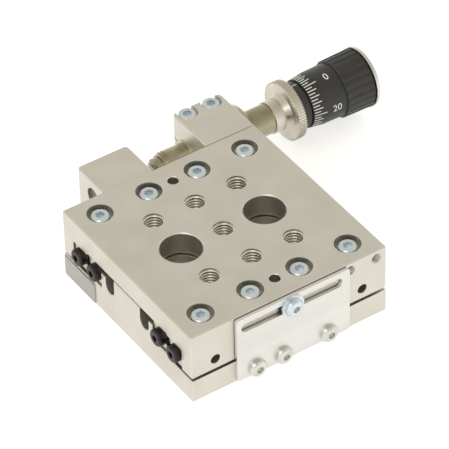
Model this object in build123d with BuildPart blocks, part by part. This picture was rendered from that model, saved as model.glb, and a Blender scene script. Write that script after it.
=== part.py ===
from build123d import *
import os

# Linear translation stage with crossed roller rails, a side micrometer screw and a lock plate.
# Sizes are in millimetres. X is the travel, towards the knob. Y points to the screw's side. Z is up.
# The origin is the middle of the underside of the base.

# Overall sizes of the stack: floor, rails, table
stage_length = 65.0
table_thickness = 7.2
floor_height = 7.7
rail_seat = 8.7
rail_height = 7.0
rail_top_gap = 0.6
edge_break = 0.25

# Named clearances
side_clearance = 0.2
running_clearance = 0.04
thread_clearance = 0.03
seat_clearance = 0.1
tip_clearance = 0.05
hole_clearance = 0.2

# Middle block of the base, the rounded relief channels beside it and the ribs behind the rails
block_width = 13.0
block_gap = 0.5
channel_width = 4.5
channel_floor = 9.5
rib_width = 2.0
rib_top = 14.0

# Skirts of the table, which cover the outer rails
skirt_width = 4.9
skirt_gap = 0.9

# Rails and their crossed rollers
rail_recess = 0.6
rail_width = 6.7
rail_gap = 0.8
roller_diameter = 3.0
roller_length = 2.7
roller_clearance = 0.02
roller_count = 8
roller_pitch = 5.6
roller_tilt = 45
cage_thickness = 0.5
cage_height = 6.0
cage_window_height = 4.6
cage_window_clearance = 0.1

# Metric fasteners: head radius, head height, thread radius, socket across flats, socket depth
m3_radius = 1.5
m3_clear_radius = 1.7
cap_head_radius = 2.75
cap_head_height = 3.0
cap_socket = 2.5
cap_socket_depth = 1.4
cap_chamfer = 0.3
button_head_radius = 2.75
button_head_height = 1.65
button_crown_radius = 1.5
button_socket = 2.0
button_socket_depth = 1.0
head_bore_radius = 3.0
head_bore_depth = 3.4

# Screws that hold the outer rails, seen in the table's top
screw_margin = 8.05
screw_columns = 4
outer_screw_inset = 2.1
top_bore_radius = 3.85
top_bore_depth = 3.6
rail_screw_length = 8.0
rail_thread_depth = 5.0

# Screws that hold the inner rails, put in from below
inner_screw_inset = 3.1

# Black screws in the rail ends, which stop the cages
outer_end_screw_inset = 3.5
inner_end_screw_inset = 3.1
end_head_radius = 2.65
end_head_height = 2.0
end_screw_length = 4.0
end_hole_depth = 5.0

# Tapped grid, access holes and dowel holes of the table
grid_pitch = 14.0
m6_radius = 3.0
m6_mouth_radius = 3.35
access_radius = 6.1
access_mouth_radius = 6.4
dowel_radius = 1.6
dowel_mouth_radius = 1.8
dowel_depth = 6.0
base_bolt_radius = 3.3
base_bore_radius = 5.5
base_bore_depth = 7.8
countersink_angle = 90

# Tapped side holes of the table
side_hole_radius = 1.5
side_hole_mouth_radius = 1.75
side_hole_depth = 3.0
side_hole_x = (20.5, 29.3)
side_hole_drop = 2.8
preload_x = (-24.5, 0.0, 24.5)
preload_drop = 11.7
preload_length = 3.0
preload_socket = 1.5
preload_socket_depth = 1.2

# Lock plate on the front, its slot, its screws and the lock screw
plate_thickness = 1.0
plate_left = -18.4
plate_right = 19.3
plate_top_drop = 0.5
plate_rise = 0.8
plate_corner = 0.8
slot_half_length = 16.8
slot_width = 3.2
lock_drop = 4.0
lock_hole_depth = 5.2
lock_screw_length = 6.5
washer_radius = 3.6
washer_thickness = 0.5
plate_screw_x = (-11.9, -3.1, 12.1)
plate_screw_z = 3.0
plate_screw_length = 5.0
plate_hole_depth = 6.0

# Bare plate on the left face of the base
label_y = 16.0
label_thickness = 0.3
label_margin = 0.2

# Return springs and their pins
spring_radius = 1.7
spring_wire = 0.5
spring_z = 12.6
base_pin_x = 24.0
table_pin_x = -22.0
pin_radius = 0.6
pin_press_depth = 3.0
pin_past_spring = 1.0
loop_radius = 1.4
loop_clearance = 0.2

# Screw axis: behind the table's back face and above the underside of the base
axis_back = 10.9
axis_z = 12.7

# Bracket that carries the screw's bush
bracket_length = 16.6
bracket_depth = 17.5
bracket_rise = 0.5
bracket_fillet = 1.5
slit_width = 0.5
slit_angle = 27.5
clamp_screw_x = (4.2, 12.4)
clamp_screw_inset = 1.9
clamp_screw_length = 10.0
clamp_shank_radius = 1.25
clamp_bore_radius = 3.15
clamp_bore_depth = 3.5
bracket_screw_z = 4.0
bracket_screw_length = 20.0
bracket_hole_depth = 7.0

# Flanged bush, barrel and spindle, along the screw axis
bush_radius = 4.7
bush_proud = 0.3
flange_radius = 8.1
flange_thickness = 3.3
flange_chamfer = 0.5
barrel_radius = 4.0
barrel_start_x = 7.0
barrel_end_x = 65.4
sleeve_radius = 4.65
nose_radius = 3.6
nose_length = 0.7
neck_groove = 0.35
neck_groove_depth = 0.25
neck_land = 0.45
spindle_radius = 3.1
spindle_tip_x = 4.3
tip_chamfer = 0.8

# Knurled ring, index collar, thimble, knob and cap, outwards from the bracket's right face
ring_start = 12.2
ring_neck_length = 3.4
ring_neck_radius = 5.05
ring_cone_length = 1.6
ring_face_radius = 6.4
ring_rim_length = 3.0
ring_radius = 9.0
ring_chamfer = 0.35
hub_radius = 5.8
hub_length = 2.6
collar_radius = 7.2
collar_length = 3.0
thimble_gap = 0.3
thimble_edge_radius = 7.6
thimble_cone_length = 4.6
thimble_cone_radius = 8.25
thimble_radius = 8.4
thimble_length = 11.5
thimble_wall = 1.2
thimble_web = 3.0
knob_start_radius = 9.1
knob_end_radius = 9.3
knob_length = 9.8
knob_flutes = 24
flute_radius = 1.3
flute_depth = 0.45
knob_chamfer = 0.4
knob_hollow_radius = 7.2
knob_hollow_depth = 3.0
knob_bore_depth = 4.9
cap_gap = 0.15
cap_radius = 9.6
cap_length = 1.25
cap_dish_radius = 7.4
cap_dish_depth = 0.3
cap_edge = 0.3
cap_spigot_length = 2.5

# Block on the table that the spindle pushes, with its pin and plug
thrust_left = -19.1
thrust_length = 16.8
thrust_depth = 13.5
thrust_fillet = 1.2
anvil_radius = 1.75
anvil_press_depth = 8.0
plug_back = 5.2
plug_drop = 5.5
plug_radius = 2.95
plug_recess = 0.8
plug_length = 4.5
thrust_screw_spots = ((4.2, 11.7), (12.9, 4.2))
thrust_screw_length = 14.0
thrust_screw_seat = 3.6

# Heights worked out from the stack
rail_top = rail_seat + rail_height
rail_axis_z = rail_seat + rail_height / 2
table_bottom = rail_top + rail_top_gap
stage_height = table_bottom + table_thickness
block_top = table_bottom - block_gap
skirt_bottom = floor_height + skirt_gap
half_length = stage_length / 2

# Places of the rails across the stage, from the middle block outwards to the skirts
rail_length = stage_length - 2 * rail_recess
rail_end = rail_length / 2
rib_half = block_width / 2 + channel_width + rib_width
inner_rail_near = rib_half + seat_clearance
inner_rail_far = inner_rail_near + rail_width
groove_y = inner_rail_far + rail_gap / 2
outer_rail_near = inner_rail_far + rail_gap
outer_rail_far = outer_rail_near + rail_width
skirt_inner = outer_rail_far + seat_clearance
half_table = skirt_inner + skirt_width
table_width = 2 * half_table
half_base = half_table + side_clearance
base_width = 2 * half_base
groove_side = roller_diameter + 2 * roller_clearance
screw_pitch = (stage_length - 2 * screw_margin) / (screw_columns - 1)
screw_row_y = outer_rail_far - outer_screw_inset
inner_screw_y = inner_rail_near + inner_screw_inset
outer_end_screw_y = outer_rail_near + outer_end_screw_inset
inner_end_screw_y = inner_rail_near + inner_end_screw_inset
screw_row_x = [screw_pitch * (column - (screw_columns - 1) / 2) for column in range(screw_columns)]
cage_length = roller_count * roller_pitch
channel_y = (block_width + channel_width) / 2
channel_axis_z = channel_floor + channel_width / 2

# Places along the screw axis
axis_y = half_table + axis_back
bracket_right = half_length
bracket_left = bracket_right - bracket_length
bracket_back = half_base + bracket_depth
thrust_right = thrust_left + thrust_length
thrust_back = half_table + thrust_depth
ring_x = bracket_right + ring_start
rim_x = ring_x + ring_neck_length + ring_cone_length
collar_x = rim_x + ring_rim_length
thimble_x = collar_x + collar_length + thimble_gap
knob_x = thimble_x + thimble_length
knob_end = knob_x + knob_length
cap_x = knob_end + cap_gap
screw_plane = Plane(origin=(0, axis_y, axis_z), x_dir=(1, 0, 0), z_dir=(0, -1, 0))
screw_axis = Axis((0, axis_y, axis_z), (1, 0, 0))

# Directions that screws enter from
from_left = (-1, 0, 0)
from_right = (1, 0, 0)
from_front = (0, -1, 0)
from_back = (0, 1, 0)
from_below = (0, 0, -1)
centre_min = (Align.CENTER, Align.CENTER, Align.MIN)
centre_max = (Align.CENTER, Align.CENTER, Align.MAX)
sides = {"front": -1, "back": 1}

os.makedirs("parts", exist_ok=True)


def facing(x, y, z, direction):
    """A place at x, y, z whose local Z points along the direction."""
    return Plane(origin=(x, y, z), z_dir=direction)


def cap_screw(length, shank_radius=m3_radius):
    """Socket head cap screw, with its head on the local origin and its shank down -Z."""
    with BuildPart() as screw:
        Cylinder(cap_head_radius, cap_head_height, align=centre_min)
        chamfer(screw.faces().sort_by(Axis.Z)[-1].edges(), cap_chamfer)
        Cylinder(shank_radius, length, align=centre_max)
        with BuildSketch(Plane.XY.offset(cap_head_height)):
            RegularPolygon(cap_socket / 2, 6, major_radius=False)
        extrude(amount=-cap_socket_depth, mode=Mode.SUBTRACT)
    return screw.part


def button_screw(length):
    """Button head screw, with a crowned head on the local origin and its shank down -Z."""
    with BuildPart() as screw:
        with BuildSketch(Plane.XZ):
            with BuildLine():
                Polyline((0, button_head_height), (0, 0), (button_head_radius, 0))
                ThreePointArc(
                    (button_head_radius, 0),
                    (
                        (button_head_radius + button_crown_radius) / 2 + button_head_height / 4,
                        button_head_height * 2 / 3,
                    ),
                    (button_crown_radius, button_head_height),
                )
                Line((button_crown_radius, button_head_height), (0, button_head_height))
            make_face()
        revolve(axis=Axis.Z)
        Cylinder(m3_radius, length, align=centre_max)
        with BuildSketch(Plane.XY.offset(button_head_height)):
            RegularPolygon(button_socket / 2, 6, major_radius=False)
        extrude(amount=-button_socket_depth, mode=Mode.SUBTRACT)
    return screw.part


def end_screw():
    """Black low-head screw in a rail end, with its head on the local origin."""
    with BuildPart() as screw:
        Cylinder(end_head_radius, end_head_height, align=centre_min)
        fillet(screw.faces().sort_by(Axis.Z)[-1].edges(), end_head_height / 3)
        Cylinder(m3_radius, end_screw_length, align=centre_max)
        with BuildSketch(Plane.XY.offset(end_head_height)):
            RegularPolygon(button_socket / 2, 6, major_radius=False)
        extrude(amount=-button_socket_depth, mode=Mode.SUBTRACT)
    return screw.part


def turned(points):
    """Face for a piece turned about the screw axis, from points of distance and radius."""
    with BuildSketch(screw_plane) as profile:
        with BuildLine():
            Polyline(*points, close=True)
        make_face()
    return profile.sketch


# Base: floor, middle block and the rounded relief channels, milled from one steel plate
with BuildPart() as base_plate:
    with BuildSketch(Plane.YZ):
        Rectangle(base_width, floor_height, align=(Align.CENTER, Align.MIN))
        Rectangle(2 * groove_y, rail_seat, align=(Align.CENTER, Align.MIN))
        Rectangle(2 * rib_half, rib_top, align=(Align.CENTER, Align.MIN))
        with Locations((-channel_y, channel_axis_z), (channel_y, channel_axis_z)):
            Circle(channel_width / 2, mode=Mode.SUBTRACT)
            Rectangle(channel_width, rib_top, align=(Align.CENTER, Align.MIN), mode=Mode.SUBTRACT)
        Rectangle(block_width, block_top, align=(Align.CENTER, Align.MIN))
    extrude(amount=half_length, both=True)
    outer_walls = base_plate.faces().filter_by(Axis.X)
    chamfer(outer_walls.edges() + base_plate.faces().sort_by(Axis.Z)[0].edges(), edge_break)
    with Locations((0, 0, block_top)):
        with GridLocations(2 * grid_pitch, 0, 2, 1):
            CounterBoreHole(base_bolt_radius, base_bore_radius, base_bore_depth)
    with Locations(*[facing(x, inner_screw_y * side, 0, from_below)
                     for x in screw_row_x for side in sides.values()]):
        CounterBoreHole(m3_clear_radius, head_bore_radius, head_bore_depth, depth=rail_seat)
    with Locations(*[facing(x, -half_base, plate_screw_z, from_front) for x in plate_screw_x]):
        Hole(m3_radius + thread_clearance, depth=plate_hole_depth)
    with Locations(*[facing(bracket_left + x, half_base, bracket_screw_z, from_back)
                     for x in clamp_screw_x]):
        Hole(m3_radius + thread_clearance, depth=bracket_hole_depth)
    with Locations(*[(base_pin_x, channel_y * side, channel_floor) for side in sides.values()]):
        Hole(pin_radius, depth=pin_press_depth)
base_plate.part.label = "base_plate"
export_step(base_plate.part, "parts/base_plate.step")

# Inner rails: ground steel, on the floor against the shoulders, with the groove facing out
for side_name, side in sides.items():
    with BuildPart() as inner_rail:
        with BuildSketch(Plane.YZ):
            with Locations((side * (inner_rail_near + rail_width / 2), rail_axis_z)):
                Rectangle(rail_width, rail_height)
            with Locations((side * groove_y, rail_axis_z)):
                Rectangle(groove_side, groove_side, rotation=roller_tilt, mode=Mode.SUBTRACT)
        extrude(amount=rail_end, both=True)
        with Locations(*[facing(x, inner_screw_y * side, rail_seat, from_below) for x in screw_row_x]):
            Hole(m3_radius + thread_clearance, depth=rail_thread_depth)
        with Locations(facing(-rail_end, inner_end_screw_y * side, rail_axis_z, from_left),
                       facing(rail_end, inner_end_screw_y * side, rail_axis_z, from_right)):
            Hole(m3_radius + thread_clearance, depth=end_hole_depth)
    inner_rail.part.label = f"inner_rail_{side_name}"
    export_step(inner_rail.part, f"parts/inner_rail_{side_name}.step")

# Screws that hold the inner rails down, with heads sunk in the underside
with BuildPart() as inner_rail_screws:
    with Locations(*[facing(x, inner_screw_y * side, head_bore_depth, from_below)
                     for x in screw_row_x for side in sides.values()]):
        add(cap_screw(rail_screw_length))
inner_rail_screws.part.label = "inner_rail_screws"
export_step(inner_rail_screws.part, "parts/inner_rail_screws.step")

# Black stop screws in the ends of the inner rails
with BuildPart() as inner_rail_end_screws:
    for side in sides.values():
        with Locations(facing(-rail_end, inner_end_screw_y * side, rail_axis_z, from_left),
                       facing(rail_end, inner_end_screw_y * side, rail_axis_z, from_right)):
            add(end_screw())
inner_rail_end_screws.part.label = "inner_rail_end_screws"
export_step(inner_rail_end_screws.part, "parts/inner_rail_end_screws.step")

# Table: plate and two skirts in one piece, with the tapped grid, access holes and side holes
with BuildPart() as table:
    with BuildSketch(Plane.YZ):
        with Locations((0, stage_height)):
            Rectangle(table_width, stage_height - skirt_bottom, align=(Align.CENTER, Align.MAX))
        with Locations((0, rail_top)):
            Rectangle(2 * skirt_inner, rail_top, align=(Align.CENTER, Align.MAX), mode=Mode.SUBTRACT)
        with Locations((0, table_bottom)):
            Rectangle(2 * groove_y, table_bottom, align=(Align.CENTER, Align.MAX), mode=Mode.SUBTRACT)
    extrude(amount=half_length, both=True)
    outer_walls = table.faces().filter_by(Axis.X) + table.faces().group_by(Axis.Z)[-1]
    chamfer(outer_walls.edges(), edge_break)
    with Locations((0, 0, stage_height)):
        with GridLocations(screw_pitch, 2 * screw_row_y, screw_columns, 2):
            CounterBoreHole(m3_clear_radius, top_bore_radius, top_bore_depth)
        with GridLocations(grid_pitch, grid_pitch, 3, 3) as grid:
            grid_spots = [spot for spot in grid.local_locations
                          if spot.position.Y or not spot.position.X]
        with Locations(*grid_spots):
            CounterSinkHole(m6_radius, m6_mouth_radius, counter_sink_angle=countersink_angle)
        with GridLocations(2 * grid_pitch, 0, 2, 1):
            CounterSinkHole(access_radius, access_mouth_radius, counter_sink_angle=countersink_angle)
        with GridLocations(0, 2 * screw_row_y, 1, 2):
            CounterSinkHole(dowel_radius, dowel_mouth_radius, depth=dowel_depth,
                            counter_sink_angle=countersink_angle)
    with Locations(*[facing(x, -half_table, stage_height - side_hole_drop, from_front)
                     for x in side_hole_x]):
        CounterSinkHole(side_hole_radius, side_hole_mouth_radius, depth=side_hole_depth,
                        counter_sink_angle=countersink_angle)
    with Locations(*[facing(x, -half_table, stage_height - preload_drop, from_front) for x in preload_x]):
        CounterSinkHole(m3_radius, m3_clear_radius, depth=skirt_width,
                        counter_sink_angle=countersink_angle)
    with Locations(facing(0, -half_table, stage_height - lock_drop, from_front)):
        Hole(m3_radius + running_clearance, depth=lock_hole_depth)
    with Locations(*[facing(thrust_left + x, half_table, stage_height - drop, from_back)
                     for x, drop in thrust_screw_spots]):
        Hole(m3_radius + thread_clearance, depth=skirt_width)
    with Locations(*[facing(table_pin_x, channel_y * side, table_bottom, from_below)
                     for side in sides.values()]):
        Hole(pin_radius, depth=pin_press_depth)
table.part.label = "table"
export_step(table.part, "parts/table.step")

# Outer rails: under the table, with the groove facing in
for side_name, side in sides.items():
    with BuildPart() as outer_rail:
        with BuildSketch(Plane.YZ):
            with Locations((side * (outer_rail_near + rail_width / 2), rail_axis_z)):
                Rectangle(rail_width, rail_height)
            with Locations((side * groove_y, rail_axis_z)):
                Rectangle(groove_side, groove_side, rotation=roller_tilt, mode=Mode.SUBTRACT)
        extrude(amount=rail_end, both=True)
        with Locations(*[(x, screw_row_y * side, rail_top) for x in screw_row_x]):
            Hole(m3_radius + thread_clearance, depth=rail_thread_depth)
        with Locations(facing(-rail_end, outer_end_screw_y * side, rail_axis_z, from_left),
                       facing(rail_end, outer_end_screw_y * side, rail_axis_z, from_right)):
            Hole(m3_radius + thread_clearance, depth=end_hole_depth)
    outer_rail.part.label = f"outer_rail_{side_name}"
    export_step(outer_rail.part, f"parts/outer_rail_{side_name}.step")

# Zinc-plated screws that hold the outer rails, sunk in the table's top
with BuildPart() as outer_rail_screws:
    with Locations((0, 0, stage_height - top_bore_depth)):
        with GridLocations(screw_pitch, 2 * screw_row_y, screw_columns, 2):
            add(cap_screw(rail_screw_length))
outer_rail_screws.part.label = "outer_rail_screws"
export_step(outer_rail_screws.part, "parts/outer_rail_screws.step")

# Black stop screws in the ends of the outer rails
with BuildPart() as outer_rail_end_screws:
    for side in sides.values():
        with Locations(facing(-rail_end, outer_end_screw_y * side, rail_axis_z, from_left),
                       facing(rail_end, outer_end_screw_y * side, rail_axis_z, from_right)):
            add(end_screw())
outer_rail_end_screws.part.label = "outer_rail_end_screws"
export_step(outer_rail_end_screws.part, "parts/outer_rail_end_screws.step")

# Grub screws in the front skirt, which press the front outer rail against the rollers
with BuildPart() as preload_screws:
    with Locations(*[facing(x, -outer_rail_far - seat_clearance / 2, stage_height - preload_drop, from_front)
                     for x in preload_x]):
        Cylinder(m3_radius - thread_clearance, preload_length, align=centre_min)
    with BuildSketch(Plane.XZ.offset(outer_rail_far + preload_length + seat_clearance / 2)):
        with Locations(*[(x, stage_height - preload_drop) for x in preload_x]):
            RegularPolygon(preload_socket / 2, 6, major_radius=False)
    extrude(amount=-preload_socket_depth, mode=Mode.SUBTRACT)
preload_screws.part.label = "preload_screws"
export_step(preload_screws.part, "parts/preload_screws.step")

# Crossed rollers in the square channel between the grooves, and the flat cages that space them
roller_spots = [roller_pitch * (index - (roller_count - 1) / 2) for index in range(roller_count)]
for side_name, side in sides.items():
    with BuildPart() as rollers:
        for index, x in enumerate(roller_spots):
            with Locations((x, side * groove_y, rail_axis_z)):
                Cylinder(roller_diameter / 2, roller_length,
                         rotation=(roller_tilt if index % 2 else -roller_tilt, 0, 0))
    rollers.part.label = f"rollers_{side_name}"
    export_step(rollers.part, f"parts/rollers_{side_name}.step")

    with BuildPart() as cage:
        with Locations((0, side * groove_y, rail_axis_z)):
            Box(cage_length, cage_thickness, cage_height)
        with Locations(*[(x, side * groove_y, rail_axis_z) for x in roller_spots]):
            Box(roller_diameter + 2 * cage_window_clearance, cage_thickness, cage_window_height,
                mode=Mode.SUBTRACT)
    cage.part.label = f"roller_cage_{side_name}"
    export_step(cage.part, f"parts/roller_cage_{side_name}.step")

# Return springs in the relief channels: close-wound coils drawn as tubes, with flat end loops
with BuildPart() as return_springs:
    for side in sides.values():
        with BuildSketch(Plane.YZ.offset(table_pin_x + loop_radius)):
            with Locations((side * channel_y, spring_z)):
                Circle(spring_radius)
                Circle(spring_radius - spring_wire, mode=Mode.SUBTRACT)
        extrude(amount=base_pin_x - table_pin_x - 2 * loop_radius)
        with BuildSketch(Plane.XY.offset(spring_z - spring_wire / 2)):
            with Locations((table_pin_x, side * channel_y), (base_pin_x, side * channel_y)):
                Circle(loop_radius)
            with Locations(((table_pin_x + base_pin_x) / 2, side * channel_y)):
                Rectangle(base_pin_x - table_pin_x, spring_wire)
            with Locations(((table_pin_x + base_pin_x) / 2, side * channel_y)):
                Rectangle(base_pin_x - table_pin_x - 2 * loop_radius - 2 * spring_wire,
                          2 * spring_radius, mode=Mode.SUBTRACT)
            with Locations((table_pin_x, side * channel_y), (base_pin_x, side * channel_y)):
                Circle(pin_radius + loop_clearance, mode=Mode.SUBTRACT)
        extrude(amount=spring_wire)
        with BuildSketch(Plane.YZ.offset(table_pin_x + loop_radius)):
            with Locations((side * channel_y, spring_z)):
                Rectangle(2 * spring_radius - spring_wire, spring_wire)
        extrude(amount=spring_wire)
        with BuildSketch(Plane.YZ.offset(base_pin_x - loop_radius)):
            with Locations((side * channel_y, spring_z)):
                Rectangle(2 * spring_radius - spring_wire, spring_wire)
        extrude(amount=-spring_wire)
return_springs.part.label = "return_springs"
export_step(return_springs.part, "parts/return_springs.step")

# Spring pins, pressed into the floor of each channel and into the table's underside
with BuildPart() as base_spring_pins:
    with Locations(*[(base_pin_x, side * channel_y, channel_floor - pin_press_depth)
                     for side in sides.values()]):
        Cylinder(pin_radius, spring_z + pin_past_spring - channel_floor + pin_press_depth, align=centre_min)
base_spring_pins.part.label = "base_spring_pins"
export_step(base_spring_pins.part, "parts/base_spring_pins.step")

with BuildPart() as table_spring_pins:
    with Locations(*[(table_pin_x, side * channel_y, table_bottom + pin_press_depth)
                     for side in sides.values()]):
        Cylinder(pin_radius, table_bottom + pin_press_depth - spring_z + pin_past_spring, align=centre_max)
table_spring_pins.part.label = "table_spring_pins"
export_step(table_spring_pins.part, "parts/table_spring_pins.step")

# Lock plate: thin steel sheet screwed to the base, with a slot along the travel
with BuildPart() as lock_plate:
    with BuildSketch(Plane.XZ.offset(half_base)):
        with Locations(((plate_left + plate_right) / 2, plate_rise)):
            RectangleRounded(plate_right - plate_left, stage_height - plate_top_drop - plate_rise,
                             plate_corner, align=(Align.CENTER, Align.MIN))
        with Locations((0, stage_height - lock_drop)):
            SlotOverall(2 * slot_half_length, slot_width, mode=Mode.SUBTRACT)
        with Locations(*[(x, plate_screw_z) for x in plate_screw_x]):
            Circle(m3_clear_radius, mode=Mode.SUBTRACT)
    extrude(amount=plate_thickness)
lock_plate.part.label = "lock_plate"
export_step(lock_plate.part, "parts/lock_plate.step")

# Nickel-plated screws of the lock plate
with BuildPart() as lock_plate_screws:
    with Locations(*[facing(x, -half_base - plate_thickness, plate_screw_z, from_front)
                     for x in plate_screw_x]):
        add(button_screw(plate_screw_length))
lock_plate_screws.part.label = "lock_plate_screws"
export_step(lock_plate_screws.part, "parts/lock_plate_screws.step")

# Lock screw and its washer, which clamp the table to the plate
washer_back = half_base + plate_thickness + tip_clearance
with BuildPart() as lock_washer:
    with BuildSketch(Plane.XZ.offset(washer_back)):
        with Locations((0, stage_height - lock_drop)):
            Circle(washer_radius)
            Circle(m3_clear_radius, mode=Mode.SUBTRACT)
    extrude(amount=washer_thickness)
lock_washer.part.label = "lock_washer"
export_step(lock_washer.part, "parts/lock_washer.step")

with BuildPart() as lock_screw:
    with Locations(facing(0, -washer_back - washer_thickness, stage_height - lock_drop, from_front)):
        add(button_screw(lock_screw_length))
lock_screw.part.label = "lock_screw"
export_step(lock_screw.part, "parts/lock_screw.step")

# Bare plate glued to the left face of the base
with BuildPart() as label_plate:
    with BuildSketch(Plane.YZ.offset(-half_length)):
        with Locations(((label_y + half_base) / 2, floor_height / 2)):
            Rectangle(half_base - label_y - 2 * label_margin - 2 * edge_break,
                      floor_height - 2 * label_margin - 2 * edge_break)
    extrude(amount=-label_thickness)
label_plate.part.label = "label_plate"
export_step(label_plate.part, "parts/label_plate.step")

# Bracket: block on the back of the base, slit so that two screws clamp the bush in its bore
with BuildPart() as screw_bracket:
    with BuildSketch(Plane.XY.offset(bracket_rise)):
        with Locations(((bracket_left + bracket_right) / 2, half_base)):
            Rectangle(bracket_length, bracket_depth, align=(Align.CENTER, Align.MIN))
    extrude(amount=stage_height - bracket_rise)
    back_corners = screw_bracket.edges().filter_by(Axis.Z).group_by(Axis.Y)[-1]
    fillet(back_corners, bracket_fillet)
    chamfer(screw_bracket.faces().sort_by(Axis.Z)[-1].edges(), edge_break)
    with BuildSketch(Plane.YZ.offset(bracket_left)):
        with Locations((axis_y, axis_z)):
            Circle(bush_radius + running_clearance)
            Rectangle(bracket_depth, slit_width, rotation=slit_angle, align=(Align.MIN, Align.CENTER))
    extrude(amount=bracket_length, mode=Mode.SUBTRACT)
    with Locations(*[(bracket_left + x, bracket_back - clamp_screw_inset, stage_height)
                     for x in clamp_screw_x]):
        CounterBoreHole(clamp_shank_radius + thread_clearance, clamp_bore_radius, clamp_bore_depth,
                        depth=clamp_bore_depth + clamp_screw_length + hole_clearance)
    with Locations(*[facing(bracket_left + x, bracket_back, bracket_screw_z, from_back)
                     for x in clamp_screw_x]):
        CounterBoreHole(m3_clear_radius, head_bore_radius, head_bore_depth)
screw_bracket.part.label = "screw_bracket"
export_step(screw_bracket.part, "parts/screw_bracket.step")

# Screws that hold the bracket to the base, from the back
with BuildPart() as bracket_screws:
    with Locations(*[facing(bracket_left + x, bracket_back - head_bore_depth, bracket_screw_z, from_back)
                     for x in clamp_screw_x]):
        add(cap_screw(bracket_screw_length))
bracket_screws.part.label = "bracket_screws"
export_step(bracket_screws.part, "parts/bracket_screws.step")

# Screws that close the slit, in bores that break out at the back edge
with BuildPart() as clamp_screws:
    with Locations(*[(bracket_left + x, bracket_back - clamp_screw_inset, stage_height - clamp_bore_depth)
                     for x in clamp_screw_x]):
        add(cap_screw(clamp_screw_length, clamp_shank_radius))
clamp_screws.part.label = "clamp_screws"
export_step(clamp_screws.part, "parts/clamp_screws.step")

# Places of the clamp screws, which cross grooves in the bush and the barrel
clamp_spots = [(bracket_left + x, bracket_back - clamp_screw_inset, axis_z) for x in clamp_screw_x]
clamp_groove_radius = clamp_shank_radius + seat_clearance

# Flanged bush, clamped in the bracket
bush_left = bracket_left - bush_proud
flange_right = bracket_right + flange_thickness
with BuildPart() as flanged_bush:
    add(turned([(bush_left, barrel_radius), (bush_left, bush_radius), (bracket_right, bush_radius),
                (bracket_right, flange_radius), (flange_right - flange_chamfer, flange_radius),
                (flange_right, flange_radius - flange_chamfer), (flange_right, barrel_radius)]))
    revolve(axis=screw_axis)
    with Locations(*clamp_spots):
        Cylinder(clamp_groove_radius, 2 * bush_radius, mode=Mode.SUBTRACT)
flanged_bush.part.label = "flanged_bush"
export_step(flanged_bush.part, "parts/flanged_bush.step")

# Barrel: ground tube with a grooved nose, pressed into the bush up to the shoulder of its
# thicker sleeve, with the nut thread inside
barrel_bore = spindle_radius + running_clearance
groove_x = barrel_start_x + nose_length
land_x = groove_x + neck_groove
second_x = land_x + neck_land
body_x = second_x + neck_groove
groove_bottom = barrel_radius - neck_groove_depth
with BuildPart() as barrel:
    add(turned([(barrel_start_x, barrel_bore), (barrel_start_x, nose_radius),
                (groove_x, nose_radius), (groove_x, groove_bottom), (land_x, groove_bottom),
                (land_x, barrel_radius), (second_x, barrel_radius), (second_x, groove_bottom),
                (body_x, groove_bottom), (body_x, barrel_radius), (flange_right, barrel_radius),
                (flange_right, sleeve_radius), (barrel_end_x, sleeve_radius),
                (barrel_end_x, barrel_bore)]))
    revolve(axis=screw_axis)
    with Locations(*clamp_spots):
        Cylinder(clamp_groove_radius, 2 * bush_radius, mode=Mode.SUBTRACT)
barrel.part.label = "barrel"
export_step(barrel.part, "parts/barrel.step")

# Spindle: ground rod that turns and slides in the barrel, fixed in the knob
spindle_end = knob_end - knob_hollow_depth
with BuildPart() as spindle:
    add(turned([(spindle_tip_x, 0), (spindle_tip_x, spindle_radius - tip_chamfer),
                (spindle_tip_x + tip_chamfer, spindle_radius), (spindle_end, spindle_radius),
                (spindle_end, 0)]))
    revolve(axis=screw_axis)
spindle.part.label = "spindle"
export_step(spindle.part, "parts/spindle.step")

# Knurled ring: turned steel with a neck, a short cone and a rim, which locks the collar to the barrel
barrel_slide = sleeve_radius + running_clearance
neck_end = ring_x + ring_neck_length
hub_start = collar_x - hub_length
ring_bore = hub_radius + running_clearance
with BuildPart() as knurled_ring:
    add(turned([(ring_x, barrel_slide), (ring_x, ring_neck_radius), (neck_end, ring_neck_radius),
                (rim_x, ring_face_radius), (rim_x, ring_radius - ring_chamfer),
                (rim_x + ring_chamfer, ring_radius),
                (collar_x - seat_clearance - ring_chamfer, ring_radius),
                (collar_x - seat_clearance, ring_radius - ring_chamfer),
                (collar_x - seat_clearance, ring_bore), (hub_start - seat_clearance, ring_bore),
                (hub_start - seat_clearance, barrel_slide)]))
    revolve(axis=screw_axis)
knurled_ring.part.label = "knurled_ring"
export_step(knurled_ring.part, "parts/knurled_ring.step")

# Index collar: black sleeve that slides on the barrel, with a hub inside the knurled ring
with BuildPart() as index_collar:
    add(turned([(hub_start, barrel_slide), (hub_start, hub_radius), (collar_x, hub_radius),
                (collar_x, collar_radius), (collar_x + collar_length, collar_radius),
                (collar_x + collar_length, barrel_slide)]))
    revolve(axis=screw_axis)
index_collar.part.label = "index_collar"
export_step(index_collar.part, "parts/index_collar.step")

# Thimble: black drum with a cone for the dial's lines, open towards the collar, with a web round
# the barrel
web_x = knob_x - thimble_web
cone_end = thimble_x + thimble_cone_length
with BuildPart() as thimble:
    add(turned([(web_x, barrel_slide), (web_x, thimble_radius - thimble_wall),
                (cone_end, thimble_cone_radius - thimble_wall),
                (thimble_x, thimble_edge_radius - thimble_wall), (thimble_x, thimble_edge_radius),
                (cone_end, thimble_cone_radius), (knob_x, thimble_radius), (knob_x, barrel_slide)]))
    revolve(axis=screw_axis)
thimble.part.label = "thimble"
export_step(thimble.part, "parts/thimble.step")

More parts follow.
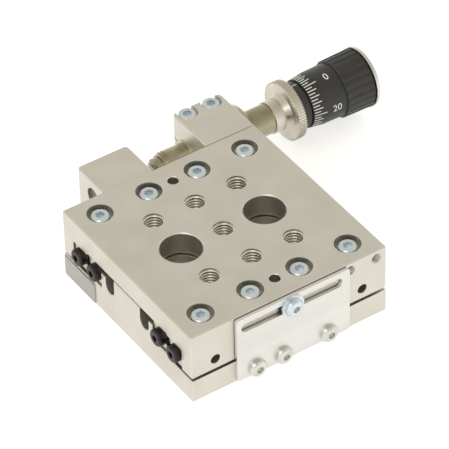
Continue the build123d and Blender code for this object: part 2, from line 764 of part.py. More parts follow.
# Knob: fluted grip that widens towards its end, fixed to the thimble and the spindle's end
bore_end = knob_x + knob_bore_depth
with BuildPart() as knob:
    add(turned([(knob_x, barrel_slide), (knob_x, knob_start_radius - knob_chamfer),
                (knob_x + knob_chamfer, knob_start_radius), (knob_end - knob_chamfer, knob_end_radius),
                (knob_end, knob_end_radius - knob_chamfer), (knob_end, knob_hollow_radius),
                (spindle_end, knob_hollow_radius), (spindle_end, spindle_radius),
                (bore_end, spindle_radius), (bore_end, barrel_slide)]))
    revolve(axis=screw_axis)
    with BuildSketch(Plane.YZ.offset(knob_x)):
        with Locations((axis_y, axis_z)):
            with PolarLocations(knob_end_radius + flute_radius - flute_depth, knob_flutes):
                Circle(flute_radius)
    extrude(amount=knob_length, mode=Mode.SUBTRACT)
knob.part.label = "knob"
export_step(knob.part, "parts/knob.step")

# End cap: bright turned disc, pressed into the hollow end of the knob
spigot_radius = knob_hollow_radius - thread_clearance
with BuildPart() as end_cap:
    add(turned([(knob_end - cap_spigot_length, 0), (knob_end - cap_spigot_length, spigot_radius),
                (cap_x, spigot_radius), (cap_x, cap_radius), (cap_x + cap_length - cap_edge, cap_radius),
                (cap_x + cap_length, cap_radius - cap_edge), (cap_x + cap_length, cap_dish_radius),
                (cap_x + cap_length - cap_dish_depth, cap_dish_radius - cap_dish_depth),
                (cap_x + cap_length - cap_dish_depth, 0)]))
    revolve(axis=screw_axis)
end_cap.part.label = "end_cap"
export_step(end_cap.part, "parts/end_cap.step")

# Thrust block on the table's back face, level with its top
with BuildPart() as thrust_block:
    with BuildSketch(Plane.XY.offset(skirt_bottom)):
        with Locations(((thrust_left + thrust_right) / 2, half_table)):
            Rectangle(thrust_length, thrust_depth, align=(Align.CENTER, Align.MIN))
    extrude(amount=stage_height - skirt_bottom)
    fillet(thrust_block.edges().filter_by(Axis.Z).group_by(Axis.Y)[-1], thrust_fillet)
    chamfer(thrust_block.faces().sort_by(Axis.Z)[-1].edges(), edge_break)
    with Locations(facing(thrust_left, half_table + plug_back, stage_height - plug_drop, from_left)):
        Hole(plug_radius + thread_clearance, depth=plug_recess + plug_length)
    with Locations(facing(thrust_right, axis_y, axis_z, from_right)):
        Hole(anvil_radius, depth=anvil_press_depth)
    with Locations(*[facing(thrust_left + x, thrust_back, stage_height - drop, from_back)
                     for x, drop in thrust_screw_spots]):
        CounterBoreHole(m3_clear_radius, head_bore_radius, thrust_screw_seat)
thrust_block.part.label = "thrust_block"
export_step(thrust_block.part, "parts/thrust_block.step")

# Screws that hold the thrust block to the back skirt
with BuildPart() as thrust_block_screws:
    with Locations(*[facing(thrust_left + x, thrust_back - thrust_screw_seat, stage_height - drop, from_back)
                     for x, drop in thrust_screw_spots]):
        add(cap_screw(thrust_screw_length))
thrust_block_screws.part.label = "thrust_block_screws"
export_step(thrust_block_screws.part, "parts/thrust_block_screws.step")

# Hardened pin that the spindle pushes on
with BuildPart() as anvil_pin:
    with Locations(facing(spindle_tip_x - tip_clearance, axis_y, axis_z, from_right)):
        Cylinder(anvil_radius, spindle_tip_x - tip_clearance - thrust_right + anvil_press_depth,
                 align=centre_max)
anvil_pin.part.label = "anvil_pin"
export_step(anvil_pin.part, "parts/anvil_pin.step")

# Threaded plug in the left face of the thrust block
with BuildPart() as thrust_plug:
    with Locations(facing(thrust_left + plug_recess, half_table + plug_back, stage_height - plug_drop,
                          from_left)):
        Cylinder(plug_radius, plug_length, align=centre_max)
thrust_plug.part.label = "thrust_plug"
export_step(thrust_plug.part, "parts/thrust_plug.step")
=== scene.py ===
import bpy
from math import atan2, cos, pi, radians, sin
from mathutils import Matrix, Vector


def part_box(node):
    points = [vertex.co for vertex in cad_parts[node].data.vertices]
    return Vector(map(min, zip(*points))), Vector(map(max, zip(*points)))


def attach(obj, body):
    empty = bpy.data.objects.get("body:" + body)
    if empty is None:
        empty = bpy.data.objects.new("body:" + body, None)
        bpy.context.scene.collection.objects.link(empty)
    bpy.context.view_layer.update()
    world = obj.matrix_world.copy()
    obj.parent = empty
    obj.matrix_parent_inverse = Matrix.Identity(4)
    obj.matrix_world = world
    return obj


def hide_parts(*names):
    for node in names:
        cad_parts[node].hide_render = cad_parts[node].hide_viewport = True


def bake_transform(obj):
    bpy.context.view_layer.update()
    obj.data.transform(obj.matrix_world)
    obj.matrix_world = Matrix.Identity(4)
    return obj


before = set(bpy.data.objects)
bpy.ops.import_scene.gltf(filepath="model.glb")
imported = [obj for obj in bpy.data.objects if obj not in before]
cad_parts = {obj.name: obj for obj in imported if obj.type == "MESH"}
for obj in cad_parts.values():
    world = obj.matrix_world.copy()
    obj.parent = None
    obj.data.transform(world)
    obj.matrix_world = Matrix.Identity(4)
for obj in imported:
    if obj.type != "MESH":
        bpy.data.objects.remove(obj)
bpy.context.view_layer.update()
mm = 0.001

# Base plate. The real one is a steel plate, milled with a middle block and two round relief
# channels, then blasted to a fine satin and nickel-plated. The plating has faint clouds and
# specks, and its edges are rubbed bright by handling.


def knot(tree, kind, **settings):
    """A new node of a material or a geometry tree, with its plain settings."""
    node = tree.nodes.new(kind)
    for key, value in settings.items():
        setattr(node, key, value)
    return node


def cloud(tree, spot, scale, detail, stretch=(1, 1, 1)):
    """Noise over the piece's own place, stretched where the finish has a grain."""
    place = knot(tree, "ShaderNodeMapping")
    place.inputs["Scale"].default_value = stretch
    tree.links.new(spot, place.inputs["Vector"])
    noise = knot(tree, "ShaderNodeTexNoise")
    noise.inputs["Scale"].default_value = scale
    noise.inputs["Detail"].default_value = detail
    tree.links.new(place.outputs["Vector"], noise.inputs["Vector"])
    return noise.outputs["Fac"]


def spread(tree, fac, low, high):
    """A number between low and high, led by a noise."""
    reach = knot(tree, "ShaderNodeMapRange")
    reach.inputs["From Min"].default_value = 0.3
    reach.inputs["From Max"].default_value = 0.7
    reach.inputs["To Min"].default_value = low
    reach.inputs["To Max"].default_value = high
    tree.links.new(fac, reach.inputs["Value"])
    return reach.outputs["Result"]


def tint(tree, fac, dark, light):
    """A colour between dark and light, led by a noise."""
    ramp = knot(tree, "ShaderNodeValToRGB")
    ramp.color_ramp.elements[0].position = 0.3
    ramp.color_ramp.elements[0].color = (*dark, 1)
    ramp.color_ramp.elements[1].position = 0.7
    ramp.color_ramp.elements[1].color = (*light, 1)
    tree.links.new(fac, ramp.inputs["Fac"])
    return ramp.outputs["Color"]


def math_node(tree, operation, first, second=None):
    """One sum of two sockets or numbers."""
    node = knot(tree, "ShaderNodeMath", operation=operation)
    for socket, value in zip(node.inputs, (first, second)):
        if isinstance(value, (int, float)):
            socket.default_value = value
        elif value is not None:
            tree.links.new(value, socket)
    return node.outputs[0]


def worn_edge(tree, width, patches):
    """How worn a point is: 1 on an edge, where a rounded normal would lean away, less in patches."""
    rounded = knot(tree, "ShaderNodeBevel", samples=6)
    rounded.inputs["Radius"].default_value = width
    flat = knot(tree, "ShaderNodeNewGeometry")
    lean = knot(tree, "ShaderNodeVectorMath", operation="DOT_PRODUCT")
    tree.links.new(rounded.outputs["Normal"], lean.inputs[0])
    tree.links.new(flat.outputs["Normal"], lean.inputs[1])
    away = math_node(tree, "SUBTRACT", 1.0, lean.outputs["Value"])
    rub = knot(tree, "ShaderNodeMapRange")
    rub.inputs["From Min"].default_value = 0.01
    rub.inputs["From Max"].default_value = 0.12
    tree.links.new(away, rub.inputs["Value"])
    return math_node(tree, "MULTIPLY", rub.outputs["Result"], spread(tree, patches, 0.25, 1.0))


def blend_in(tree, fac, plain, worn):
    """A plain colour that goes over to a worn one."""
    mix = knot(tree, "ShaderNodeMix", data_type="RGBA")
    tree.links.new(fac, mix.inputs["Factor"])
    tree.links.new(plain, mix.inputs["A"])
    mix.inputs["B"].default_value = (*worn, 1)
    return mix.outputs["Result"]


def steel_finish(name, dark, light, rough, grain, stretch=(1, 1, 1), bump=0.1, metal=1.0, clouds=90,
                 worn=None, worn_width=0.25):
    """A metal surface: slow clouds of colour, a fine grain in roughness and relief, rubbed edges."""
    rub_patches, rub_gloss, relief_depth = 350, 0.12, 0.02 * mm
    finish = bpy.data.materials.new(name)
    finish.use_nodes = True
    tree = finish.node_tree
    shade = tree.nodes["Principled BSDF"]
    shade.inputs["Metallic"].default_value = metal
    spot = knot(tree, "ShaderNodeTexCoord").outputs["Object"]
    colour = tint(tree, cloud(tree, spot, clouds, 4, stretch), dark, light)
    specks = cloud(tree, spot, grain, 2, stretch)
    dullness = spread(tree, specks, rough[0], rough[1])
    if worn:
        rub = worn_edge(tree, worn_width * mm, cloud(tree, spot, rub_patches, 2))
        colour = blend_in(tree, rub, colour, worn)
        dullness = math_node(tree, "SUBTRACT", dullness, math_node(tree, "MULTIPLY", rub, rub_gloss))
    tree.links.new(colour, shade.inputs["Base Color"])
    tree.links.new(dullness, shade.inputs["Roughness"])
    relief = knot(tree, "ShaderNodeBump")
    relief.inputs["Strength"].default_value = bump
    relief.inputs["Distance"].default_value = relief_depth
    tree.links.new(specks, relief.inputs["Height"])
    tree.links.new(relief.outputs["Normal"], shade.inputs["Normal"])
    return finish


def wear(node, finish):
    """A CAD piece keeps its shape and takes this finish."""
    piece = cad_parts[node]
    piece.data.materials.clear()
    piece.data.materials.append(finish)


satin_nickel = steel_finish("satin_nickel", (0.66, 0.635, 0.58), (0.72, 0.695, 0.64),
                            (0.34, 0.46), 2600, bump=0.25, worn=(0.82, 0.80, 0.75))
wear("base_plate", satin_nickel)

# Rails, rollers and cages. The rails are hardened steel bars, ground along their length, with a
# square groove between each pair. Crossed rollers run in the groove, spaced by a cage of thin
# pressed sheet.
ground_rail = steel_finish("ground_rail", (0.50, 0.47, 0.41), (0.60, 0.57, 0.50),
                           (0.22, 0.34), 1500, stretch=(0.05, 1, 1), bump=0.15,
                           worn=(0.74, 0.72, 0.66))
for side in ("front", "back"):
    wear("inner_rail_" + side, ground_rail)
    wear("outer_rail_" + side, ground_rail)

lapped_roller = steel_finish("lapped_roller", (0.66, 0.66, 0.66), (0.74, 0.74, 0.73),
                             (0.08, 0.16), 1800, bump=0.05)
cage_sheet = steel_finish("cage_sheet", (0.55, 0.42, 0.20), (0.66, 0.52, 0.27),
                          (0.28, 0.42), 1200, bump=0.2)
for side in ("front", "back"):
    wear("rollers_" + side, lapped_roller)
    wear("roller_cage_" + side, cage_sheet)

# Rail screws. Zinc-plated socket head screws, blue-white, sunk in counterbores of the table and,
# for the inner rails, in the underside of the base.
blue_zinc = steel_finish("blue_zinc", (0.60, 0.68, 0.74), (0.74, 0.80, 0.85),
                         (0.22, 0.36), 2200, bump=0.15, clouds=400, worn=(0.80, 0.80, 0.78),
                         worn_width=0.12)
for node in ("outer_rail_screws", "inner_rail_screws"):
    wear(node, blue_zinc)

# Stop screws in the rail ends. Low-head screws in black oxide, slightly oily, which keep the
# cages from leaving the rails.
black_oxide = steel_finish("black_oxide", (0.020, 0.020, 0.022), (0.045, 0.043, 0.045),
                           (0.30, 0.45), 1800, bump=0.2, metal=0.6, clouds=500,
                           worn=(0.16, 0.15, 0.14), worn_width=0.12)
for node in ("inner_rail_end_screws", "outer_rail_end_screws", "preload_screws"):
    wear(node, black_oxide)

# Table. One milled piece with two skirts, in the same satin nickel as the base. Its seven M6 holes
# and the small holes in its front are tapped, and the threads show as bright turns.


def size_input(tree, label, kind, value):
    """A named size of a tree."""
    kinds = {"number": "NodeSocketFloat", "count": "NodeSocketInt", "finish": "NodeSocketMaterial"}
    entry = tree.interface.new_socket(label, in_out="INPUT", socket_type=kinds[kind])
    if kind != "finish":
        entry.default_value = value


def grown(name, tree, finish, **sizes):
    """Runs a tree once, and keeps what it makes as a plain mesh."""
    holder = bpy.data.objects.new(name + "_holder", bpy.data.meshes.new(name + "_holder"))
    bpy.context.scene.collection.objects.link(holder)
    step = holder.modifiers.new("grow", "NODES")
    step.node_group = tree
    for entry in tree.interface.items_tree:
        if entry.in_out == "INPUT" and entry.name == "Finish":
            step[entry.identifier] = finish
        elif entry.in_out == "INPUT" and entry.name in sizes:
            step[entry.identifier] = sizes[entry.name]
    bpy.context.view_layer.update()
    mesh = bpy.data.meshes.new_from_object(holder.evaluated_get(bpy.context.evaluated_depsgraph_get()))
    holder.modifiers.remove(step)
    bpy.data.objects.remove(holder)
    mesh.name = name
    piece = bpy.data.objects.new(name, mesh)
    bpy.context.scene.collection.objects.link(piece)
    return piece


def point_node(tree, x, y, z):
    """A place or a turn from three sockets or numbers."""
    node = knot(tree, "ShaderNodeCombineXYZ")
    for socket, value in zip(node.inputs, (x, y, z)):
        if isinstance(value, (int, float)):
            socket.default_value = value
        else:
            tree.links.new(value, socket)
    return node.outputs[0]


def thread_tree():
    """Thread turns for a row of holes by rows: a three-sided ridge that winds down each hole."""
    tree = bpy.data.node_groups.new("thread_turns", "GeometryNodeTree")
    for label, kind, value in (("Root radius", "number", 3.0), ("Depth", "number", 0.5),
                               ("Pitch", "number", 1.0), ("Length", "number", 6.0),
                               ("Columns", "count", 1), ("Column pitch", "number", 1.0),
                               ("Rows", "count", 1), ("Row pitch", "number", 1.0),
                               ("Skip beyond", "number", 1.0), ("Finish", "finish", None)):
        size_input(tree, label, kind, value)
    tree.interface.new_socket("Geometry", in_out="OUTPUT", socket_type="NodeSocketGeometry")
    given = knot(tree, "NodeGroupInput")
    link = tree.links.new
    wind = knot(tree, "GeometryNodeCurveSpiral")
    wind.inputs["Resolution"].default_value = 40
    link(math_node(tree, "DIVIDE", given.outputs["Length"], given.outputs["Pitch"]),
         wind.inputs["Rotations"])
    link(given.outputs["Root radius"], wind.inputs["Start Radius"])
    link(given.outputs["Root radius"], wind.inputs["End Radius"])
    link(given.outputs["Length"], wind.inputs["Height"])
    ridge = knot(tree, "GeometryNodeCurvePrimitiveCircle")
    ridge.inputs["Resolution"].default_value = 4
    link(given.outputs["Depth"], ridge.inputs["Radius"])
    sweep = knot(tree, "GeometryNodeCurveToMesh")
    sweep.inputs["Fill Caps"].default_value = True
    link(wind.outputs["Curve"], sweep.inputs["Curve"])
    link(ridge.outputs["Curve"], sweep.inputs["Profile Curve"])
    grid = knot(tree, "GeometryNodeMeshGrid")
    link(math_node(tree, "MULTIPLY", given.outputs["Column pitch"],
                   math_node(tree, "SUBTRACT", given.outputs["Columns"], 1)), grid.inputs["Size X"])
    link(math_node(tree, "MULTIPLY", given.outputs["Row pitch"],
                   math_node(tree, "SUBTRACT", given.outputs["Rows"], 1)), grid.inputs["Size Y"])
    link(given.outputs["Columns"], grid.inputs["Vertices X"])
    link(given.outputs["Rows"], grid.inputs["Vertices Y"])
    place = knot(tree, "GeometryNodeInputPosition")
    apart = knot(tree, "ShaderNodeSeparateXYZ")
    link(place.outputs[0], apart.inputs[0])
    off_column = math_node(tree, "GREATER_THAN", math_node(tree, "ABSOLUTE", apart.outputs[0]),
                           given.outputs["Skip beyond"])
    on_row = math_node(tree, "LESS_THAN", math_node(tree, "ABSOLUTE", apart.outputs[1]),
                       given.outputs["Skip beyond"])
    drop = knot(tree, "GeometryNodeDeleteGeometry", domain="POINT")
    link(grid.outputs["Mesh"], drop.inputs["Geometry"])
    link(math_node(tree, "MULTIPLY", off_column, on_row), drop.inputs["Selection"])
    copies = knot(tree, "GeometryNodeInstanceOnPoints")
    link(drop.outputs["Geometry"], copies.inputs["Points"])
    link(sweep.outputs["Mesh"], copies.inputs["Instance"])
    real = knot(tree, "GeometryNodeRealizeInstances")
    link(copies.outputs["Instances"], real.inputs["Geometry"])
    paint = knot(tree, "GeometryNodeSetMaterial")
    link(real.outputs["Geometry"], paint.inputs["Geometry"])
    link(given.outputs["Finish"], paint.inputs["Material"])
    out = knot(tree, "NodeGroupOutput")
    link(paint.outputs["Geometry"], out.inputs["Geometry"])
    return tree


table_low, table_high = (Vector(corner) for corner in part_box("table"))
wear("table", satin_nickel)
cut_thread = steel_finish("cut_thread", (0.78, 0.75, 0.68), (0.88, 0.86, 0.80),
                          (0.16, 0.26), 900, bump=0.1)
thread_turns = thread_tree()
grid_pitch = 14 * mm
grid_depth = 6.9 * mm
tapped_grid = grown("tapped_grid", thread_turns, cut_thread,
                    **{"Root radius": 3.0 * mm, "Depth": 0.42 * mm, "Pitch": 1.0 * mm,
                       "Length": 6.2 * mm, "Columns": 3, "Column pitch": grid_pitch,
                       "Rows": 3, "Row pitch": grid_pitch, "Skip beyond": grid_pitch / 2})
tapped_grid.data.transform(Matrix.Translation((0, 0, table_high.z - grid_depth)))
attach(tapped_grid, "table")
side_middle_x = 24.9 * mm
side_mouth = 0.3 * mm
side_drop = 2.8 * mm
side_threads = grown("tapped_side", thread_turns, cut_thread,
                     **{"Root radius": 1.5 * mm, "Depth": 0.22 * mm, "Pitch": 0.5 * mm,
                        "Length": 2.4 * mm, "Columns": 2, "Column pitch": 8.8 * mm,
                        "Rows": 1, "Row pitch": 0.0, "Skip beyond": 1.0})
side_threads.data.transform(
    Matrix.Translation((side_middle_x, table_low.y + side_mouth, table_high.z - side_drop))
    @ Matrix.Rotation(-pi / 2, 4, "X"))
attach(side_threads, "table")

# Springs. Two return springs of round steel wire lie in the relief channels. Each one hooks over a
# pin of the base and a pin of the table, and pulls the table against the screw.


def coil_tree():
    """A wound wire along X, from one loop to the other."""
    tree = bpy.data.node_groups.new("spring_coil", "GeometryNodeTree")
    for label, kind, value in (("Length", "number", 40.0), ("Turns", "number", 50.0),
                               ("Coil radius", "number", 1.5), ("Wire radius", "number", 0.25),
                               ("Rows", "count", 2), ("Row pitch", "number", 17.0),
                               ("Finish", "finish", None)):
        size_input(tree, label, kind, value)
    tree.interface.new_socket("Geometry", in_out="OUTPUT", socket_type="NodeSocketGeometry")
    given = knot(tree, "NodeGroupInput")
    link = tree.links.new
    wind = knot(tree, "GeometryNodeCurveSpiral")
    wind.inputs["Resolution"].default_value = 14
    link(given.outputs["Turns"], wind.inputs["Rotations"])
    link(given.outputs["Coil radius"], wind.inputs["Start Radius"])
    link(given.outputs["Coil radius"], wind.inputs["End Radius"])
    link(given.outputs["Length"], wind.inputs["Height"])
    wire = knot(tree, "GeometryNodeCurvePrimitiveCircle")
    wire.inputs["Resolution"].default_value = 6
    link(given.outputs["Wire radius"], wire.inputs["Radius"])
    sweep = knot(tree, "GeometryNodeCurveToMesh")
    sweep.inputs["Fill Caps"].default_value = True
    link(wind.outputs["Curve"], sweep.inputs["Curve"])
    link(wire.outputs["Curve"], sweep.inputs["Profile Curve"])
    lay = knot(tree, "GeometryNodeTransform")
    lay.inputs["Rotation"].default_value = (0, pi / 2, 0)
    link(sweep.outputs["Mesh"], lay.inputs["Geometry"])
    row = knot(tree, "GeometryNodeMeshLine")
    link(given.outputs["Rows"], row.inputs["Count"])
    link(point_node(tree, 0, given.outputs["Row pitch"], 0), row.inputs["Offset"])
    copies = knot(tree, "GeometryNodeInstanceOnPoints")
    link(row.outputs["Mesh"], copies.inputs["Points"])
    link(lay.outputs["Geometry"], copies.inputs["Instance"])
    real = knot(tree, "GeometryNodeRealizeInstances")
    link(copies.outputs["Instances"], real.inputs["Geometry"])
    paint = knot(tree, "GeometryNodeSetMaterial")
    link(real.outputs["Geometry"], paint.inputs["Geometry"])
    link(given.outputs["Finish"], paint.inputs["Material"])
    out = knot(tree, "NodeGroupOutput")
    link(paint.outputs["Geometry"], out.inputs["Geometry"])
    return tree


spring_low, spring_high = (Vector(corner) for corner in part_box("return_springs"))
spring_mid_z = (spring_low.z + spring_high.z) / 2
coil_radius = (spring_high.z - spring_low.z) / 2
wire_radius = 0.25 * mm
loop = 1.4 * mm
hook_left = spring_low.x + loop
hook_right = spring_high.x - loop
loop_steps = 24
spring_rows = spring_high.y - spring_low.y - 2 * coil_radius
spring_wire = steel_finish("spring_wire", (0.38, 0.37, 0.35), (0.52, 0.50, 0.47),
                           (0.20, 0.32), 1500, bump=0.1, clouds=600)
coils = grown("return_coils", coil_tree(), spring_wire,
              **{"Length": hook_right - hook_left - 2 * loop, "Turns": 62.0,
                 "Coil radius": coil_radius - wire_radius, "Wire radius": wire_radius,
                 "Rows": 2, "Row pitch": spring_rows})
coils.data.transform(Matrix.Translation((hook_left + loop, -spring_rows / 2, spring_mid_z)))
hooks = bpy.data.curves.new("spring_hooks", "CURVE")
hooks.dimensions = "3D"
hooks.bevel_depth = wire_radius
hooks.bevel_resolution = 2
hooks.use_fill_caps = True
for row_y in (-spring_rows / 2, spring_rows / 2):
    for hook_x, way in ((hook_left, 1), (hook_right, -1)):
        wire_line = hooks.splines.new("POLY")
        loop_line = loop - wire_radius
        turns = [pi / 2 * (1 - way) + 2 * pi * k / loop_steps for k in range(loop_steps + 1)]
        spots = [(hook_x + loop_line * cos(t), row_y + loop_line * sin(t), spring_mid_z) for t in turns]
        spots.append((hook_x + way * loop, row_y, spring_mid_z))
        spots.append((hook_x + way * (loop + wire_radius), row_y,
                      spring_mid_z + coil_radius - wire_radius))
        wire_line.points.add(len(spots) - 1)
        for point, spot in zip(wire_line.points, spots):
            point.co = (*spot, 1)
hook_holder = bpy.data.objects.new("spring_hooks_curve", hooks)
bpy.context.scene.collection.objects.link(hook_holder)
hook_mesh = bpy.data.meshes.new_from_object(hook_holder.evaluated_get(
    bpy.context.evaluated_depsgraph_get()))
bpy.data.objects.remove(hook_holder)
hook_mesh.materials.clear()
hook_mesh.materials.append(spring_wire)
spring_hooks = bpy.data.objects.new("return_hooks", hook_mesh)
bpy.context.scene.collection.objects.link(spring_hooks)
for piece in (coils, spring_hooks):
    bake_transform(piece)
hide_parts("return_springs")

# Spring pins and thrust pin. Short pins of ground steel. The spring pins are pressed into the
# channel floor and into the table's underside, the thrust pin into the block on the table.
ground_pin = steel_finish("ground_pin", (0.52, 0.51, 0.49), (0.62, 0.61, 0.59),
                          (0.18, 0.28), 1500, bump=0.1)
for node in ("base_spring_pins", "table_spring_pins", "anvil_pin"):
    wear(node, ground_pin)

# Lock plate. Sheet steel, brushed along the travel and chromed dull, with a slot for the lock
# screw. Three nickel-plated button screws hold it to the base.
brushed_sheet = steel_finish("brushed_sheet", (0.70, 0.70, 0.68), (0.80, 0.80, 0.79),
                             (0.26, 0.40), 1400, stretch=(0.04, 1, 1), bump=0.2,
                             worn=(0.86, 0.86, 0.84), worn_width=0.15)
wear("lock_plate", brushed_sheet)
bright_nickel = steel_finish("bright_nickel", (0.62, 0.61, 0.57), (0.74, 0.73, 0.69),
                             (0.16, 0.28), 1500, bump=0.1, clouds=500,
                             worn=(0.80, 0.79, 0.76), worn_width=0.12)
wear("lock_plate_screws", bright_nickel)
wear("lock_screw", blue_zinc)
wear("lock_washer", blue_zinc)

# Plate on the left face of the base. A thin plate of bare aluminium, brushed across and glued on
# below the rail ends.
dull_aluminium = steel_finish("dull_aluminium", (0.42, 0.41, 0.39), (0.50, 0.49, 0.47),
                              (0.38, 0.50), 2000, stretch=(1, 0.06, 1), bump=0.2)
wear("label_plate", dull_aluminium)

# Bracket and thrust block. Milled steel blocks in satin nickel, bolted to the back of the base
# and of the table. The bracket is slit, and two screws close it on the bush.
wear("screw_bracket", satin_nickel)
wear("thrust_block", satin_nickel)
for node in ("bracket_screws", "clamp_screws", "thrust_block_screws"):
    wear(node, blue_zinc)
dark_plug = steel_finish("dark_plug", (0.20, 0.20, 0.20), (0.30, 0.30, 0.29),
                         (0.35, 0.5), 1500, bump=0.2)
wear("thrust_plug", dark_plug)

# Bush, barrel and spindle. Turned and ground steel, with fine turning marks round the axis. The
# bush is clamped in the bracket, the barrel is pressed into it, and the spindle runs inside.


def turned_finish(name, dark, light, rough, axis_y, axis_z, marks=900, bump=0.15, worn=None):
    """A turned surface: rings that repeat along X on a round, and along the radius on a face."""
    slow_scale, worn_width, relief_depth = 150, 0.2 * mm, 0.02 * mm
    finish = bpy.data.materials.new(name)
    finish.use_nodes = True
    tree = finish.node_tree
    shade = tree.nodes["Principled BSDF"]
    shade.inputs["Metallic"].default_value = 1.0
    spot = knot(tree, "ShaderNodeTexCoord").outputs["Object"]
    centred = knot(tree, "ShaderNodeMapping")
    centred.inputs["Location"].default_value = (0, -axis_y, -axis_z)
    tree.links.new(spot, centred.inputs["Vector"])
    apart = knot(tree, "ShaderNodeSeparateXYZ")
    tree.links.new(centred.outputs["Vector"], apart.inputs[0])
    flat = point_node(tree, 0, apart.outputs[1], apart.outputs[2])
    reach = knot(tree, "ShaderNodeVectorMath", operation="LENGTH")
    tree.links.new(flat, reach.inputs[0])
    rings = point_node(tree, apart.outputs[0], reach.outputs["Value"], 0)
    marks_noise = cloud(tree, rings, marks, 3)
    slow = cloud(tree, centred.outputs["Vector"], slow_scale, 3)
    colour = tint(tree, slow, dark, light)
    if worn:
        colour = blend_in(tree, worn_edge(tree, worn_width, slow), colour, worn)
    tree.links.new(colour, shade.inputs["Base Color"])
    tree.links.new(spread(tree, marks_noise, rough[0], rough[1]), shade.inputs["Roughness"])
    relief = knot(tree, "ShaderNodeBump")
    relief.inputs["Strength"].default_value = bump
    relief.inputs["Distance"].default_value = relief_depth
    tree.links.new(marks_noise, relief.inputs["Height"])
    tree.links.new(relief.outputs["Normal"], shade.inputs["Normal"])
    return finish


barrel_low, barrel_high = (Vector(corner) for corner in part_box("barrel"))
screw_y = (barrel_low.y + barrel_high.y) / 2
screw_z = (barrel_low.z + barrel_high.z) / 2
ground_barrel = turned_finish("ground_barrel", (0.30, 0.27, 0.18), (0.44, 0.40, 0.29),
                              (0.12, 0.24), screw_y, screw_z, worn=(0.66, 0.62, 0.52))
for node in ("barrel", "spindle"):
    wear(node, ground_barrel)
turned_bush = turned_finish("turned_bush", (0.52, 0.49, 0.41), (0.62, 0.58, 0.49),
                            (0.18, 0.30), screw_y, screw_z, marks=700, bump=0.3,
                            worn=(0.74, 0.71, 0.63))
wear("flanged_bush", turned_bush)

# Knurled ring. Turned steel, with a neck and a straight knurl rolled into its rim. It is turned by
# hand to lock the collar on the barrel.


def rim_tree():
    """Small ridges round the screw axis, each with its length along X."""
    tree = bpy.data.node_groups.new("rim_ridges", "GeometryNodeTree")
    for label, kind, value in (("Count", "count", 60), ("Step", "number", 0.1),
                               ("First turn", "number", 0.0), ("Start", "number", 0.0),
                               ("Radius", "number", 8.0), ("Slope", "number", 0.0),
                               ("Length", "number", 3.0), ("Width", "number", 0.4),
                               ("Height", "number", 0.2), ("Sides", "count", 4),
                               ("Finish", "finish", None)):
        size_input(tree, label, kind, value)
    tree.interface.new_socket("Geometry", in_out="OUTPUT", socket_type="NodeSocketGeometry")
    given = knot(tree, "NodeGroupInput")
    link = tree.links.new
    bar = knot(tree, "GeometryNodeMeshCylinder", fill_type="NGON")
    link(given.outputs["Sides"], bar.inputs["Vertices"])
    bar.inputs["Radius"].default_value = 0.5
    bar.inputs["Depth"].default_value = 1.0
    face_out = knot(tree, "GeometryNodeTransform")
    face_out.inputs["Rotation"].default_value = (pi / 4, 0, 0)
    lay = knot(tree, "GeometryNodeTransform")
    lay.inputs["Rotation"].default_value = (0, pi / 2, 0)
    lay.inputs["Translation"].default_value = (0.5, 0, 0)
    link(bar.outputs["Mesh"], lay.inputs["Geometry"])
    link(lay.outputs["Geometry"], face_out.inputs["Geometry"])
    grow = knot(tree, "GeometryNodeTransform")
    link(face_out.outputs["Geometry"], grow.inputs["Geometry"])
    link(point_node(tree, given.outputs["Length"], given.outputs["Height"], given.outputs["Width"]),
         grow.inputs["Scale"])
    tilt = knot(tree, "GeometryNodeTransform")
    link(grow.outputs["Geometry"], tilt.inputs["Geometry"])
    link(point_node(tree, 0, 0, given.outputs["Slope"]), tilt.inputs["Rotation"])
    turn = math_node(tree, "ADD", given.outputs["First turn"],
                     math_node(tree, "MULTIPLY", knot(tree, "GeometryNodeInputIndex").outputs[0],
                               given.outputs["Step"]))
    spots = knot(tree, "GeometryNodePoints")
    link(given.outputs["Count"], spots.inputs["Count"])
    link(point_node(tree, given.outputs["Start"],
                    math_node(tree, "MULTIPLY", given.outputs["Radius"], math_node(tree, "COSINE", turn)),
                    math_node(tree, "MULTIPLY", given.outputs["Radius"], math_node(tree, "SINE", turn))),
         spots.inputs["Position"])
    copies = knot(tree, "GeometryNodeInstanceOnPoints")
    link(spots.outputs[0], copies.inputs["Points"])
    link(tilt.outputs["Geometry"], copies.inputs["Instance"])
    link(point_node(tree, turn, 0, 0), copies.inputs["Rotation"])
    real = knot(tree, "GeometryNodeRealizeInstances")
    link(copies.outputs["Instances"], real.inputs["Geometry"])
    paint = knot(tree, "GeometryNodeSetMaterial")
    link(real.outputs["Geometry"], paint.inputs["Geometry"])
    link(given.outputs["Finish"], paint.inputs["Material"])
    out = knot(tree, "NodeGroupOutput")
    link(paint.outputs["Geometry"], out.inputs["Geometry"])
    return tree


ring_low, ring_high = (Vector(corner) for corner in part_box("knurled_ring"))
ring_radius = (ring_high.z - ring_low.z) / 2
knurl_teeth = 68
knurl_inset = 0.15 * mm
knurl_length = 2.6 * mm
turned_ring = turned_finish("turned_ring", (0.60, 0.57, 0.50), (0.70, 0.67, 0.60),
                            (0.20, 0.34), screw_y, screw_z, marks=700, bump=0.35,
                            worn=(0.78, 0.76, 0.70))
wear("knurled_ring", turned_ring)
rim_ridges = rim_tree()
knurl_metal = steel_finish("knurl_metal", (0.60, 0.56, 0.46), (0.72, 0.68, 0.58),
                           (0.20, 0.32), 1500, bump=0.1)
knurl = grown("ring_knurl", rim_ridges, knurl_metal,
              **{"Count": knurl_teeth, "Step": 2 * pi / knurl_teeth, "First turn": 0.0,
                 "Start": ring_high.x - knurl_inset - knurl_length, "Radius": ring_radius,
                 "Slope": 0.0, "Length": knurl_length, "Width": 0.56 * mm,
                 "Height": 0.62 * mm, "Sides": 4})
knurl.data.transform(Matrix.Translation((0, screw_y, screw_z)))
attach(knurl, "lock_ring")

